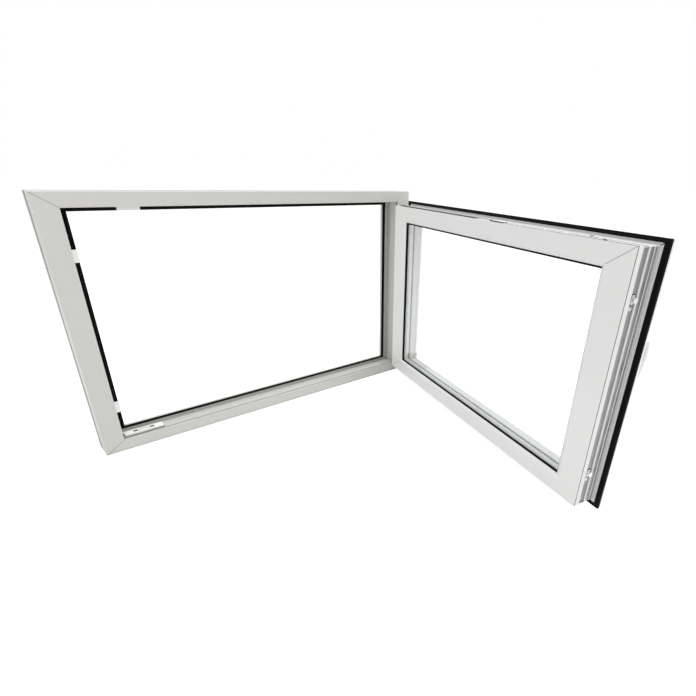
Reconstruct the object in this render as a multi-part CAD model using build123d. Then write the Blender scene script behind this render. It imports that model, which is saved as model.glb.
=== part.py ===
"""Basement window, a tilt and turn casement of white plastic with its sash standing open.

Millimetres. +Z is up, X runs along the width with the hinges at +X, and the room is at -Y.
The origin is the centre of the frame's underside. Each section is a list of points
(inward, depth): inward from the bar's outer edge, depth from the face on the room side. The
widths are those of the upright bars. The level bars have RAIL_RATIO times those widths.
"""
import os

from build123d import *

# Frame
WINDOW_WIDTH = 1000.0
WINDOW_HEIGHT = 600.0
RAIL_RATIO = 0.65
FRAME_DEPTH = 72.0
FRAME_FACE = 46.0
FRAME_REBATE_DEPTH = 56.0
UPSTAND_RISE = 16.0
UPSTAND_BEVEL = 5.0
REBATE_LINE_FROM_FACE = 5.0
REBATE_LINE_WIDTH = 3.0
REBATE_LINE_DEPTH = 3.0
DRAIN_CHANNEL_WIDTH = 12.0
DRAIN_CHANNEL_DEPTH = 6.0
DRAIN_SLOPE_WIDTH = 8.0
SIDE_GROOVE_FROM_FACE = 40.0
SIDE_GROOVE_WIDTH = 12.0
SIDE_GROOVE_DEPTH = 3.0
FRAME_SEAL_WIDTH = 10.0
FRAME_SEAL_THICKNESS = 4.0
FRAME_SEAL_LIP = 1.5

# Sash
SASH_THICKNESS = 72.0
SASH_OVERLAP = 6.0
SEAL_GAP = 4.0
FLANGE_REACH = 17.0
FLANGE_THICKNESS = 16.0
FLANGE_TIP = 8.0
FLANGE_BEVEL_REACH = 4.0
KEEP_CHANNEL_FROM_FLANGE = 4.0
KEEP_CHANNEL_WIDTH = 20.0
KEEP_CHANNEL_DEPTH = 2.5
RIB_WIDTH = 3.0
GROOVE_WIDTH = 14.0
GROOVE_DEPTH = 4.5
SASH_OUTER_FACE = 66.0
SASH_INNER_BEVEL = 9.0
SASH_BEVEL_DROP = 5.0
GLAZING_LIP_THICKNESS = 8.0
BEAD_WIDTH = 18.0
OVERLAP_SEAL_WIDTH = 10.0
OVERLAP_SEAL_WRAP = 1.5
OVERLAP_SEAL_WRAP_DEPTH = 3.0
OVERLAP_SEAL_EDGE = 2.0
OVERLAP_SEAL_CREST = 3.0
OPENING_ANGLE = 75.0

# Double glazing
PANE_THICKNESS = 4.0
PANE_GAP = 16.0
GLASS_EDGE_GAP = 4.0
GLAZING_SEAL_THICKNESS = 3.0
GLAZING_SEAL_HOLD = 12.0
OUTER_SEAL_LIP = 3.0
INNER_SEAL_LIP = 5.0
SPACER_HEIGHT = 12.0
BEAD_NOSE = 9.0
BEAD_SLOPE = 8.0

# Hinges
HINGE_FROM_EDGE = 15.0
HINGE_FORWARD = 10.0
HINGE_PIN_RADIUS = 4.0
HINGE_PIN_CLEARANCE = 0.05
HINGE_BARREL_RADIUS = 7.0
HINGE_BARREL_LENGTH = 36.0
HINGE_LUG_LENGTH = 10.0
HINGE_PLATE_THICKNESS = 2.5
HINGE_PLATE_WIDTH = 18.0
HINGE_PLATE_MARGIN = 8.0
HINGE_LEAF_THICKNESS = 2.5
HINGE_INSET = 60.0
HINGE_WEB_THICKNESS = 6.0

# Locking hardware
FACEPLATE_THICKNESS = 2.0
FACEPLATE_SIDE_GAP = 0.15
FACEPLATE_END_GAP = 0.3
CAM_STEM_RADIUS = 3.0
CAM_HEAD_RADIUS = 5.0
CAM_STEM_HEIGHT = 5.5
CAM_HEAD_HEIGHT = 2.5
LOCK_HEIGHTS = (115.0, 474.0)
TOP_LOCK_FROM_EDGE = 175.0
JAMB_KEEP_LENGTH = 26.0
HEAD_KEEP_LENGTH = 46.0
KEEP_WIDTH = 20.0
KEEP_BASE = 2.5
KEEP_WALL = 7.5
KEEP_HEIGHT = 12.5
KEEP_FROM_FACE = 12.0
KEEP_ROUNDING = 1.5
STRIKER_LENGTH = 95.0
STRIKER_FROM_CORNER = 6.0
STRIKER_HEIGHT = 6.0
STRIKER_SLOT_LENGTH = 52.0
STRIKER_SLOT_WIDTH = 8.0
STRIKER_SLOT_DEPTH = 4.0
STAY_LENGTH = 490.0
STAY_WIDTH = 12.0
STAY_THICKNESS = 3.0
STAY_PIVOT_RADIUS = 5.0
STAY_PIVOT_HEIGHT = 1.5

# Handle
HANDLE_FROM_EDGE = 35.0
ROSETTE_WIDTH = 30.0
ROSETTE_HEIGHT = 58.0
ROSETTE_THICKNESS = 10.0
ROSETTE_ROUNDING = 3.0
LEVER_WIDTH = 17.0
LEVER_LENGTH = 85.0
LEVER_REACH = 45.0
LEVER_ROUNDING = 2.5

# Places that follow from the sizes above
ROOM_FACE_Y = -FRAME_DEPTH / 2
SASH_FACE_Y = ROOM_FACE_Y - SEAL_GAP - FLANGE_THICKNESS
SASH_EDGE = FRAME_FACE - SASH_OVERLAP
SASH_WIDTH = WINDOW_WIDTH - 2 * SASH_EDGE
SASH_HEIGHT = WINDOW_HEIGHT - 2 * SASH_EDGE * RAIL_RATIO
REBATE_LINE_END = REBATE_LINE_FROM_FACE + REBATE_LINE_WIDTH
REBATE_LINE_FLOOR = FRAME_FACE - REBATE_LINE_DEPTH
DRAIN_CHANNEL_START = FRAME_REBATE_DEPTH - DRAIN_CHANNEL_WIDTH
DRAIN_CHANNEL_FLOOR = FRAME_FACE - DRAIN_CHANNEL_DEPTH
SIDE_GROOVE_END = SIDE_GROOVE_FROM_FACE + SIDE_GROOVE_WIDTH
UPSTAND_TOP = FRAME_FACE + UPSTAND_RISE
KEEP_CHANNEL_START = FLANGE_THICKNESS + KEEP_CHANNEL_FROM_FLANGE
KEEP_CHANNEL_END = KEEP_CHANNEL_START + KEEP_CHANNEL_WIDTH
KEEP_CHANNEL_FLOOR = FLANGE_REACH + KEEP_CHANNEL_DEPTH
GROOVE_START = KEEP_CHANNEL_END + RIB_WIDTH
GROOVE_MIDDLE = GROOVE_START + GROOVE_WIDTH / 2
GROOVE_END = GROOVE_START + GROOVE_WIDTH
GROOVE_FLOOR = FLANGE_REACH + GROOVE_DEPTH
SIGHT_LINE = FLANGE_REACH + SASH_OUTER_FACE
GLAZING_FLOOR = SIGHT_LINE - BEAD_WIDTH
GLAZING_LIP_FRONT = SASH_THICKNESS - GLAZING_LIP_THICKNESS
GLASS_EDGE = GLAZING_FLOOR + GLASS_EDGE_GAP
OUTER_PANE_FRONT = GLAZING_LIP_FRONT - GLAZING_SEAL_THICKNESS - PANE_THICKNESS
INNER_PANE_FRONT = OUTER_PANE_FRONT - PANE_GAP - PANE_THICKNESS
BEAD_DEPTH = INNER_PANE_FRONT - GLAZING_SEAL_THICKNESS
SPACER_TOP = SIGHT_LINE + OUTER_SEAL_LIP
HINGE_X = WINDOW_WIDTH / 2 - HINGE_FROM_EDGE
HINGE_Y = ROOM_FACE_Y - HINGE_FORWARD
HINGE_AXIS = Axis((HINGE_X, HINGE_Y, 0), (0, 0, 1))
HINGE_PLATE_HEIGHT = 2 * HINGE_PLATE_MARGIN + HINGE_LUG_LENGTH + HINGE_BARREL_LENGTH

SIDES = {"bottom": 0, "left": 90, "top": 180, "right": -90}
LEVEL_SIDES = ("bottom", "top")
FRAME_NAMES = {"bottom": "sill", "left": "lock_jamb", "top": "head", "right": "hinge_jamb"}
SASH_NAMES = {"bottom": "bottom_rail", "left": "lock_stile", "top": "top_rail", "right": "hinge_stile"}
SHORT_NAMES = {"bottom": "bottom", "left": "lock", "top": "top", "right": "hinge"}

FRAME_SECTION = [
    (0, 0),
    (FRAME_FACE, 0),
    (FRAME_FACE, REBATE_LINE_FROM_FACE),
    (REBATE_LINE_FLOOR, REBATE_LINE_FROM_FACE),
    (REBATE_LINE_FLOOR, REBATE_LINE_END),
    (FRAME_FACE, REBATE_LINE_END),
    (FRAME_FACE, DRAIN_CHANNEL_START - DRAIN_SLOPE_WIDTH),
    (DRAIN_CHANNEL_FLOOR, DRAIN_CHANNEL_START),
    (DRAIN_CHANNEL_FLOOR, FRAME_REBATE_DEPTH),
    (UPSTAND_TOP, FRAME_REBATE_DEPTH),
    (UPSTAND_TOP, FRAME_DEPTH - UPSTAND_BEVEL),
    (UPSTAND_TOP - UPSTAND_BEVEL, FRAME_DEPTH),
    (0, FRAME_DEPTH),
    (0, SIDE_GROOVE_END),
    (SIDE_GROOVE_DEPTH, SIDE_GROOVE_END),
    (SIDE_GROOVE_DEPTH, SIDE_GROOVE_FROM_FACE),
    (0, SIDE_GROOVE_FROM_FACE),
]

SASH_SECTION = [
    (FLANGE_BEVEL_REACH, 0),
    (0, FLANGE_TIP),
    (0, FLANGE_THICKNESS),
    (FLANGE_REACH, FLANGE_THICKNESS),
    (FLANGE_REACH, KEEP_CHANNEL_START),
    (KEEP_CHANNEL_FLOOR, KEEP_CHANNEL_START),
    (KEEP_CHANNEL_FLOOR, KEEP_CHANNEL_END),
    (FLANGE_REACH, KEEP_CHANNEL_END),
    (FLANGE_REACH, GROOVE_START),
    (GROOVE_FLOOR, GROOVE_START),
    (GROOVE_FLOOR, GROOVE_END),
    (FLANGE_REACH, GROOVE_END),
    (FLANGE_REACH, SASH_THICKNESS),
    (SIGHT_LINE - SASH_INNER_BEVEL, SASH_THICKNESS),
    (SIGHT_LINE, SASH_THICKNESS - SASH_BEVEL_DROP),
    (SIGHT_LINE, GLAZING_LIP_FRONT),
    (GLAZING_FLOOR, GLAZING_LIP_FRONT),
    (GLAZING_FLOOR, 0),
]

FRAME_SEAL_FOOT = UPSTAND_TOP + FRAME_SEAL_LIP - FRAME_SEAL_WIDTH
FRAME_SEAL_SHOULDER = FRAME_REBATE_DEPTH - FRAME_SEAL_THICKNESS / 2
FRAME_SEAL_SECTION = [
    (FRAME_SEAL_FOOT, FRAME_REBATE_DEPTH),
    (FRAME_SEAL_FOOT, FRAME_SEAL_SHOULDER),
    (UPSTAND_TOP - FRAME_SEAL_WIDTH / 2, FRAME_REBATE_DEPTH - FRAME_SEAL_THICKNESS),
    (UPSTAND_TOP + FRAME_SEAL_LIP, FRAME_SEAL_SHOULDER),
    (UPSTAND_TOP + FRAME_SEAL_LIP, FRAME_REBATE_DEPTH),
]

OVERLAP_SEAL_SECTION = [
    (0, FLANGE_THICKNESS - OVERLAP_SEAL_WRAP_DEPTH),
    (-OVERLAP_SEAL_WRAP, FLANGE_THICKNESS - OVERLAP_SEAL_WRAP_DEPTH),
    (-OVERLAP_SEAL_WRAP, FLANGE_THICKNESS + OVERLAP_SEAL_EDGE),
    (OVERLAP_SEAL_WIDTH / 2, FLANGE_THICKNESS + OVERLAP_SEAL_CREST),
    (OVERLAP_SEAL_WIDTH, FLANGE_THICKNESS + OVERLAP_SEAL_EDGE),
    (OVERLAP_SEAL_WIDTH, FLANGE_THICKNESS),
    (0, FLANGE_THICKNESS),
]

BEAD_SECTION = [
    (GLAZING_FLOOR, 0),
    (GLAZING_FLOOR + BEAD_NOSE, 0),
    (SIGHT_LINE, BEAD_SLOPE),
    (SIGHT_LINE, BEAD_DEPTH),
    (GLAZING_FLOOR, BEAD_DEPTH),
]

# The lever seen from the side, as points (reach from the sash, height above the handle's middle)
LEVER_OUTER_CURVE = [(ROSETTE_THICKNESS, -9), (30, 1), (41, 28), (LEVER_REACH, 57), (42, LEVER_LENGTH)]
LEVER_INNER_CURVE = [(33, LEVER_LENGTH), (35.5, 60), (31.5, 36), (23, 18), (ROSETTE_THICKNESS, 9)]


def strip_section(inner_edge, outer_edge, front, thickness):
    """A plain rectangular section."""
    back = front + thickness
    return [(inner_edge, front), (outer_edge, front), (outer_edge, back), (inner_edge, back)]


def across(side):
    """The width of a bar on this side as a share of an upright bar's width."""
    return RAIL_RATIO if side in LEVEL_SIDES else 1.0


def mitred_bar(section, length, side):
    """A bar along X with its outer edge on z = 0 and inward up, its ends cut from corner to corner."""
    reach = length / 2 + FRAME_FACE
    points = [(-reach, depth, inward * across(side)) for inward, depth in section]
    face = make_face(Polyline(*points, close=True))
    bar = extrude(face, amount=2 * reach, dir=(1, 0, 0))
    slope = 1 / RAIL_RATIO if side in LEVEL_SIDES else RAIL_RATIO
    for end in (-1, 1):
        mitre = Plane(origin=(end * length / 2, 0, 0), z_dir=(end, 0, slope))
        bar = split(bar, bisect_by=mitre, keep=Keep.BOTTOM)
    return bar


def mitred_ring(section, width, height, face_y):
    """Four bars round a rectangle that is centred on the window, by the names in SIDES."""
    bars = {}
    for side in SIDES:
        length = width if side in LEVEL_SIDES else height
        bars[side] = on_side(side, 0, 0, 0, face_y, width, height) * mitred_bar(section, length, side)
    return bars


def one_ring(section, width, height, face_y):
    """The same four bars as one continuous solid, for seals that run round the corners."""
    bottom, left, top, right = mitred_ring(section, width, height, face_y).values()
    return (bottom + left + top + right).clean()


def on_side(side, along, inward, depth, face_y, width, height):
    """A place on one side of a ring: X along the bar, Z inward and Y away from the room."""
    extent = height if side in LEVEL_SIDES else width
    turned = Pos(0, face_y, WINDOW_HEIGHT / 2) * Rot(0, SIDES[side], 0)
    return turned * Pos(along, depth, inward * across(side) - extent / 2)


def frame_place(side, along, inward, depth):
    """A place on the fixed frame."""
    return on_side(side, along, inward, depth, ROOM_FACE_Y, WINDOW_WIDTH, WINDOW_HEIGHT)


def sash_place(side, along, inward, depth):
    """A place on the closed sash."""
    return on_side(side, along, inward, depth, SASH_FACE_Y, SASH_WIDTH, SASH_HEIGHT)


def frame_parts():
    """The four bars of the fixed frame and the seal on their upstand."""
    parts = {}
    for side, bar in mitred_ring(FRAME_SECTION, WINDOW_WIDTH, WINDOW_HEIGHT, ROOM_FACE_Y).items():
        parts["frame_" + FRAME_NAMES[side]] = bar
    for side, seal in mitred_ring(FRAME_SEAL_SECTION, WINDOW_WIDTH, WINDOW_HEIGHT, ROOM_FACE_Y).items():
        parts["frame_gasket_" + FRAME_NAMES[side]] = seal
    return parts


def locking_keep(side, length):
    """A keep lying on z = 0: a plate, and a wall on the room side that a cam hooks behind."""
    height = KEEP_HEIGHT * across(side)
    plate = Pos(0, KEEP_WIDTH / 2, KEEP_BASE / 2) * Box(length, KEEP_WIDTH, KEEP_BASE)
    wall = Pos(0, KEEP_WALL / 2, height / 2) * Box(length, KEEP_WALL, height)
    keep = plate + wall
    return fillet(keep.edges().filter_by(Axis.Y).group_by(Axis.Z)[-1], KEEP_ROUNDING)


def tilt_striker():
    """The slotted block at the sill's corner, lying on z = 0."""
    block = Pos(0, KEEP_WIDTH / 2, STRIKER_HEIGHT / 2) * Box(STRIKER_LENGTH, KEEP_WIDTH, STRIKER_HEIGHT)
    block = fillet(block.edges().filter_by(Axis.Z), KEEP_ROUNDING)
    slot_floor = Pos(0, KEEP_WIDTH / 2, STRIKER_HEIGHT - STRIKER_SLOT_DEPTH)
    slot = extrude(slot_floor * SlotOverall(STRIKER_SLOT_LENGTH, STRIKER_SLOT_WIDTH), STRIKER_SLOT_DEPTH)
    return block - slot


def keep_parts():
    """The keeps on the lock jamb and the head, and the striker on the sill."""
    parts = {}
    for name, height in zip(("lower", "upper"), LOCK_HEIGHTS):
        place = frame_place("left", WINDOW_HEIGHT / 2 - height, FRAME_FACE, KEEP_FROM_FACE)
        parts["keep_lock_jamb_" + name] = place * locking_keep("left", JAMB_KEEP_LENGTH)
    place = frame_place("top", WINDOW_WIDTH / 2 - TOP_LOCK_FROM_EDGE, FRAME_FACE, KEEP_FROM_FACE)
    parts["keep_head"] = place * locking_keep("top", HEAD_KEEP_LENGTH)
    along = FRAME_FACE + STRIKER_FROM_CORNER + STRIKER_LENGTH / 2 - WINDOW_WIDTH / 2
    parts["tilt_striker"] = frame_place("bottom", along, FRAME_FACE, KEEP_FROM_FACE) * tilt_striker()
    return parts


def sash_profile_parts():
    """The four bars of the sash, closed, with the overlap seal and the glazing beads."""
    parts = {}
    for side, bar in mitred_ring(SASH_SECTION, SASH_WIDTH, SASH_HEIGHT, SASH_FACE_Y).items():
        parts["sash_" + SASH_NAMES[side]] = bar
    for side, seal in mitred_ring(OVERLAP_SEAL_SECTION, SASH_WIDTH, SASH_HEIGHT, SASH_FACE_Y).items():
        parts["overlap_gasket_" + SHORT_NAMES[side]] = seal
    for side, bead in mitred_ring(BEAD_SECTION, SASH_WIDTH, SASH_HEIGHT, SASH_FACE_Y).items():
        parts["bead_" + SHORT_NAMES[side]] = bead
    return parts


def pane(front):
    """A sheet of glass whose room side lies at this depth of the sash."""
    size_x = SASH_WIDTH - 2 * GLASS_EDGE
    size_z = SASH_HEIGHT - 2 * GLASS_EDGE * RAIL_RATIO
    place = Pos(0, SASH_FACE_Y + front + PANE_THICKNESS / 2, WINDOW_HEIGHT / 2)
    return place * Box(size_x, PANE_THICKNESS, size_z)


def glazing_seal(front, lip):
    """A seal against the glass whose lip shows past the sight line."""
    section = strip_section(SIGHT_LINE - GLAZING_SEAL_HOLD, SIGHT_LINE + lip, front, GLAZING_SEAL_THICKNESS)
    return one_ring(section, SASH_WIDTH, SASH_HEIGHT, SASH_FACE_Y)


def glazing_parts():
    """The sealed double pane and the seals that hold it."""
    spacer = strip_section(SPACER_TOP - SPACER_HEIGHT, SPACER_TOP, INNER_PANE_FRONT + PANE_THICKNESS, PANE_GAP)
    return {
        "outer_pane": pane(OUTER_PANE_FRONT),
        "inner_pane": pane(INNER_PANE_FRONT),
        "spacer": one_ring(spacer, SASH_WIDTH, SASH_HEIGHT, SASH_FACE_Y),
        "outer_glazing_gasket": glazing_seal(OUTER_PANE_FRONT + PANE_THICKNESS, OUTER_SEAL_LIP),
        "inner_glazing_gasket": glazing_seal(BEAD_DEPTH, INNER_SEAL_LIP),
    }


def groove_place(side, along):
    """A place on the floor of the sash's hardware groove, with the faceplate's surface at z = 0."""
    return sash_place(side, along, GROOVE_FLOOR, GROOVE_MIDDLE) * Pos(0, 0, -FACEPLATE_THICKNESS)


def faceplate(length):
    """A strip on the groove's floor, its surface at z = 0."""
    width = GROOVE_WIDTH - 2 * FACEPLATE_SIDE_GAP
    return Pos(0, 0, FACEPLATE_THICKNESS / 2) * Box(length, width, FACEPLATE_THICKNESS)


def lock_cam(side):
    """A mushroom cam that stands on z = 0 and points down."""
    stem_height = CAM_STEM_HEIGHT * across(side)
    head_height = CAM_HEAD_HEIGHT * across(side)
    downwards = (Align.CENTER, Align.CENTER, Align.MAX)
    stem = Cylinder(CAM_STEM_RADIUS, stem_height, align=downwards)
    head = Cylinder(CAM_HEAD_RADIUS, head_height, align=downwards)
    return stem + Pos(0, 0, -stem_height) * head


def stay_arm():
    """The arm that lies along the top rail, with its pivot at the end away from the hinges."""
    arm = extrude(SlotOverall(STAY_LENGTH, STAY_WIDTH), -STAY_THICKNESS)
    pivot_place = Pos(STAY_LENGTH / 2 - STAY_WIDTH / 2, 0, -STAY_THICKNESS)
    pivot = Cylinder(STAY_PIVOT_RADIUS, STAY_PIVOT_HEIGHT, align=(Align.CENTER, Align.CENTER, Align.MAX))
    return arm + pivot_place * pivot


def hardware_parts():
    """Faceplates in the sash's groove, the cams and the stay arm."""
    parts = {}
    stile_length = SASH_HEIGHT - 2 * (GROOVE_FLOOR * RAIL_RATIO + FACEPLATE_END_GAP)
    rail_length = SASH_WIDTH - 2 * FLANGE_REACH
    parts["lock_stile_faceplate"] = groove_place("left", 0) * faceplate(stile_length)
    parts["top_rail_faceplate"] = groove_place("top", 0) * faceplate(rail_length)
    parts["bottom_rail_faceplate"] = groove_place("bottom", 0) * faceplate(rail_length)
    for name, height in zip(("lower", "upper"), LOCK_HEIGHTS):
        parts["lock_cam_" + name] = groove_place("left", WINDOW_HEIGHT / 2 - height) * lock_cam("left")
    parts["top_cam"] = groove_place("top", WINDOW_WIDTH / 2 - TOP_LOCK_FROM_EDGE) * lock_cam("top")
    along = FLANGE_REACH + STAY_LENGTH / 2 - SASH_WIDTH / 2
    parts["stay_arm"] = groove_place("top", along) * stay_arm()
    return parts


def handle_parts():
    """The rosette on the lock stile and the bowed lever that points up from it, on the room side."""
    centre = Pos(HANDLE_FROM_EDGE - SASH_WIDTH / 2, SASH_FACE_Y, WINDOW_HEIGHT / 2)
    outline = Plane.XZ * SlotOverall(ROSETTE_HEIGHT, ROSETTE_WIDTH, rotation=90)
    rosette = extrude(outline, ROSETTE_THICKNESS)
    rosette = fillet(rosette.edges().group_by(Axis.Y)[0], ROSETTE_ROUNDING)
    edges = [
        Spline(*LEVER_OUTER_CURVE),
        Line(LEVER_OUTER_CURVE[-1], LEVER_INNER_CURVE[0]),
        Spline(*LEVER_INNER_CURVE),
        Line(LEVER_INNER_CURVE[-1], LEVER_OUTER_CURVE[0]),
    ]
    side_view = Plane(origin=(LEVER_WIDTH / 2, 0, 0), x_dir=(0, -1, 0), z_dir=(-1, 0, 0))
    lever = extrude(side_view * make_face(edges), LEVER_WIDTH)
    tip_edges = lever.edges().filter_by(Axis.X).group_by(Axis.Z)[-1]
    lever = fillet(tip_edges, LEVER_ROUNDING)
    return {"handle_rosette": centre * rosette, "handle_lever": centre * lever}


def hinge_bracket(foot_z):
    """The bracket on the frame with its pin, from height foot_z up."""
    upwards = (Align.CENTER, Align.CENTER, Align.MIN)
    plate_place = Pos(HINGE_X, ROOM_FACE_Y - HINGE_PLATE_THICKNESS / 2, foot_z)
    plate = plate_place * Box(HINGE_PLATE_WIDTH, HINGE_PLATE_THICKNESS, HINGE_PLATE_HEIGHT, align=upwards)
    lug_z = foot_z + HINGE_PLATE_MARGIN
    lug = Pos(HINGE_X, HINGE_Y, lug_z) * Cylinder(HINGE_BARREL_RADIUS, HINGE_LUG_LENGTH, align=upwards)
    web_place = Pos(HINGE_X, (HINGE_Y + ROOM_FACE_Y) / 2, lug_z)
    web = web_place * Box(HINGE_WEB_THICKNESS, HINGE_FORWARD, HINGE_LUG_LENGTH, align=upwards)
    pin_place = Pos(HINGE_X, HINGE_Y, lug_z + HINGE_LUG_LENGTH)
    pin = pin_place * Cylinder(HINGE_PIN_RADIUS, HINGE_BARREL_LENGTH, align=upwards)
    return plate + web + lug + pin


def hinge_leaf(foot_z):
    """The leaf on the sash's flange, whose barrel turns on the pin, beside the bracket at foot_z."""
    upwards = (Align.CENTER, Align.CENTER, Align.MIN)
    barrel_z = foot_z + HINGE_PLATE_MARGIN + HINGE_LUG_LENGTH
    barrel_place = Pos(HINGE_X, HINGE_Y, barrel_z)
    barrel = barrel_place * Cylinder(HINGE_BARREL_RADIUS, HINGE_BARREL_LENGTH, align=upwards)
    bore_radius = HINGE_PIN_RADIUS + HINGE_PIN_CLEARANCE
    bore = barrel_place * Cylinder(bore_radius, HINGE_BARREL_LENGTH, align=upwards)
    flange_x = WINDOW_WIDTH / 2 - SASH_EDGE
    leaf_place = Pos(flange_x, SASH_FACE_Y + FLANGE_TIP, barrel_z)
    leaf = leaf_place * Box(
        HINGE_LEAF_THICKNESS, FLANGE_THICKNESS - FLANGE_TIP, HINGE_BARREL_LENGTH,
        align=(Align.MIN, Align.MIN, Align.MIN),
    )
    arm = Pos(flange_x, HINGE_Y, barrel_z) * Box(
        HINGE_X - flange_x, HINGE_WEB_THICKNESS, HINGE_BARREL_LENGTH,
        align=(Align.MIN, Align.CENTER, Align.MIN),
    )
    return leaf + arm + barrel - bore


def hinge_parts():
    """The two hinges, as the brackets on the frame and the leaves on the sash."""
    frame_side = {}
    sash_side = {}
    feet = {"lower": HINGE_INSET, "upper": WINDOW_HEIGHT - HINGE_INSET - HINGE_PLATE_HEIGHT}
    for name, foot_z in feet.items():
        frame_side["hinge_bracket_" + name] = hinge_bracket(foot_z)
        sash_side["hinge_leaf_" + name] = hinge_leaf(foot_z)
    return frame_side, sash_side


def clear_seal_at_hinges(seal, leaves):
    """Cuts the seal away where the hinge leaves lie on the flange's edge."""
    for leaf in leaves.values():
        box = leaf.bounding_box()
        place = Pos(WINDOW_WIDTH / 2 - SASH_EDGE, box.center().Y, box.center().Z)
        gap = Box(
            2 * OVERLAP_SEAL_WRAP, 2 * FLANGE_THICKNESS, box.size.Z,
            align=(Align.MIN, Align.CENTER, Align.CENTER),
        )
        seal = seal - place * gap
    return seal


def build():
    """Every node by its name, with the sash turned open about its hinges."""
    hinge_frame_side, hinge_sash_side = hinge_parts()
    sash = sash_profile_parts()
    sash["overlap_gasket_hinge"] = clear_seal_at_hinges(sash["overlap_gasket_hinge"], hinge_sash_side)
    sash |= glazing_parts() | hardware_parts() | handle_parts() | hinge_sash_side
    parts = frame_parts() | keep_parts() | hinge_frame_side
    for name, shape in sash.items():
        parts[name] = shape.rotate(HINGE_AXIS, OPENING_ANGLE)
    return parts


os.makedirs("parts", exist_ok=True)
for name, shape in build().items():
    shape.label = name
    export_step(shape, os.path.join("parts", name + ".step"))
    print(name)
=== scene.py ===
"""A white plastic basement window with its tilt and turn sash open, dressed over its CAD frame.

Metres, in the frame of the CAD: +Z is up, X runs along the width with the hinges at +X, and the
room is at -Y. A place on a bar is given as along, inward from its outer edge, and depth from its
room face, in the widths of the upright bars. A section is a list of (inward, depth) points.
"""
import math
from collections import namedtuple

import bmesh
import bpy
from mathutils import Matrix, Vector


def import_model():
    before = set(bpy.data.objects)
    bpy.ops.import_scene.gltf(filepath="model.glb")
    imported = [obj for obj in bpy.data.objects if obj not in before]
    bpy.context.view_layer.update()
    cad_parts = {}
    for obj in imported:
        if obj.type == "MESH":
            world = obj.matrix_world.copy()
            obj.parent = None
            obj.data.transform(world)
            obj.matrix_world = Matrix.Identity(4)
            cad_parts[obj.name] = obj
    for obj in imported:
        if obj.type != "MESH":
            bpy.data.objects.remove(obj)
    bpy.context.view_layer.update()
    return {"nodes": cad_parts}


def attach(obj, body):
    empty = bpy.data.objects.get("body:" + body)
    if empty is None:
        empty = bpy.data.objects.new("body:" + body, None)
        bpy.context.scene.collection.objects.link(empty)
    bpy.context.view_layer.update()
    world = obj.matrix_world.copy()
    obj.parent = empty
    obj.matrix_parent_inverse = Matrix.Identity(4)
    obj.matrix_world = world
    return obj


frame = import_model()
nodes = frame["nodes"]

Ring = namedtuple("Ring", "width height face_y")
Screw = namedtuple("Screw", "radius height")
Plate = namedtuple("Plate", "length width radius low high chamfer")

# Camera
CAMERA_PLACE = (-0.6360, -1.2651, 0.6588)
CAMERA_TURN = (62.449, -1.879, -42.129)
CAMERA_LENS = 24.379
CAMERA_SENSOR = 36
CAMERA_SHIFT = (-0.0804, 0.0985)
CAMERA_NEAR = 0.01

# Window, as in its CAD
WINDOW_WIDTH = 1.000
WINDOW_HEIGHT = 0.600
RAIL_RATIO = 0.65
ROOM_FACE_Y = -0.036
FRAME_FACE = 0.046
SASH_EDGE = 0.040
SASH_FACE_Y = -0.056
SASH_WIDTH = WINDOW_WIDTH - 2 * SASH_EDGE
SASH_HEIGHT = WINDOW_HEIGHT - 2 * SASH_EDGE * RAIL_RATIO
FRAME_RING = Ring(WINDOW_WIDTH, WINDOW_HEIGHT, ROOM_FACE_Y)
SASH_RING = Ring(SASH_WIDTH, SASH_HEIGHT, SASH_FACE_Y)
HINGE_X = 0.485
HINGE_Y = -0.046
HINGE_FEET = (0.060, 0.478)
HINGE_PLATE_THICKNESS = 0.0025
OPENING_ANGLE = math.radians(75)
GROOVE_FLOOR = 0.0215
GROOVE_MIDDLE = 0.050
FACEPLATE_THICKNESS = 0.002
LOCK_HEIGHTS = (0.115, 0.474)
LOCK_ALONGS = [WINDOW_HEIGHT / 2 - height for height in LOCK_HEIGHTS]
TOP_LOCK_X = -0.325
KEEP_FROM_FACE = 0.012
KEEP_BASE = 0.0025
STRIKER_FROM_JAMB = 0.006
STRIKER_HALF_LENGTH = 0.0475
STRIKER_MIDDLE = FRAME_FACE + STRIKER_FROM_JAMB + STRIKER_HALF_LENGTH - WINDOW_WIDTH / 2
STRIKER_DEPTH = KEEP_FROM_FACE + 0.010

TURNS = {"bottom": 0, "left": 90, "top": 180, "right": -90}
OPENED = (
    Matrix.Translation((HINGE_X, HINGE_Y, 0))
    @ Matrix.Rotation(OPENING_ANGLE, 4, "Z")
    @ Matrix.Translation((-HINGE_X, -HINGE_Y, 0))
)
ALONG_LEVEL = Vector((1, 0, 0))
ALONG_UPRIGHT = Vector((0, 0, 1))
ALONG_SASH_RAIL = Vector((math.cos(OPENING_ANGLE), math.sin(OPENING_ANGLE), 0))

# Corners of a ring, as signs of X and Z, and those whose welded joint the photo shows
CORNERS = ((-1, -1), (1, -1), (1, 1), (-1, 1))
FRAME_MITRES = ((-1, -1), (-1, 1), (1, -1))
SASH_MITRES = ((-1, 1), (1, -1))
FLANGE_MITRES = ((-1, 1),)

# Rounded edges of the CAD solids
PROFILE_ROUNDING = 0.0006
BEAD_ROUNDING = 0.0005
KEEP_ROUNDING = 0.0006
STRIP_ROUNDING = 0.0003
ROUNDING_SEGMENTS = 2
ROUNDING_ANGLE = math.radians(35)

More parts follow.
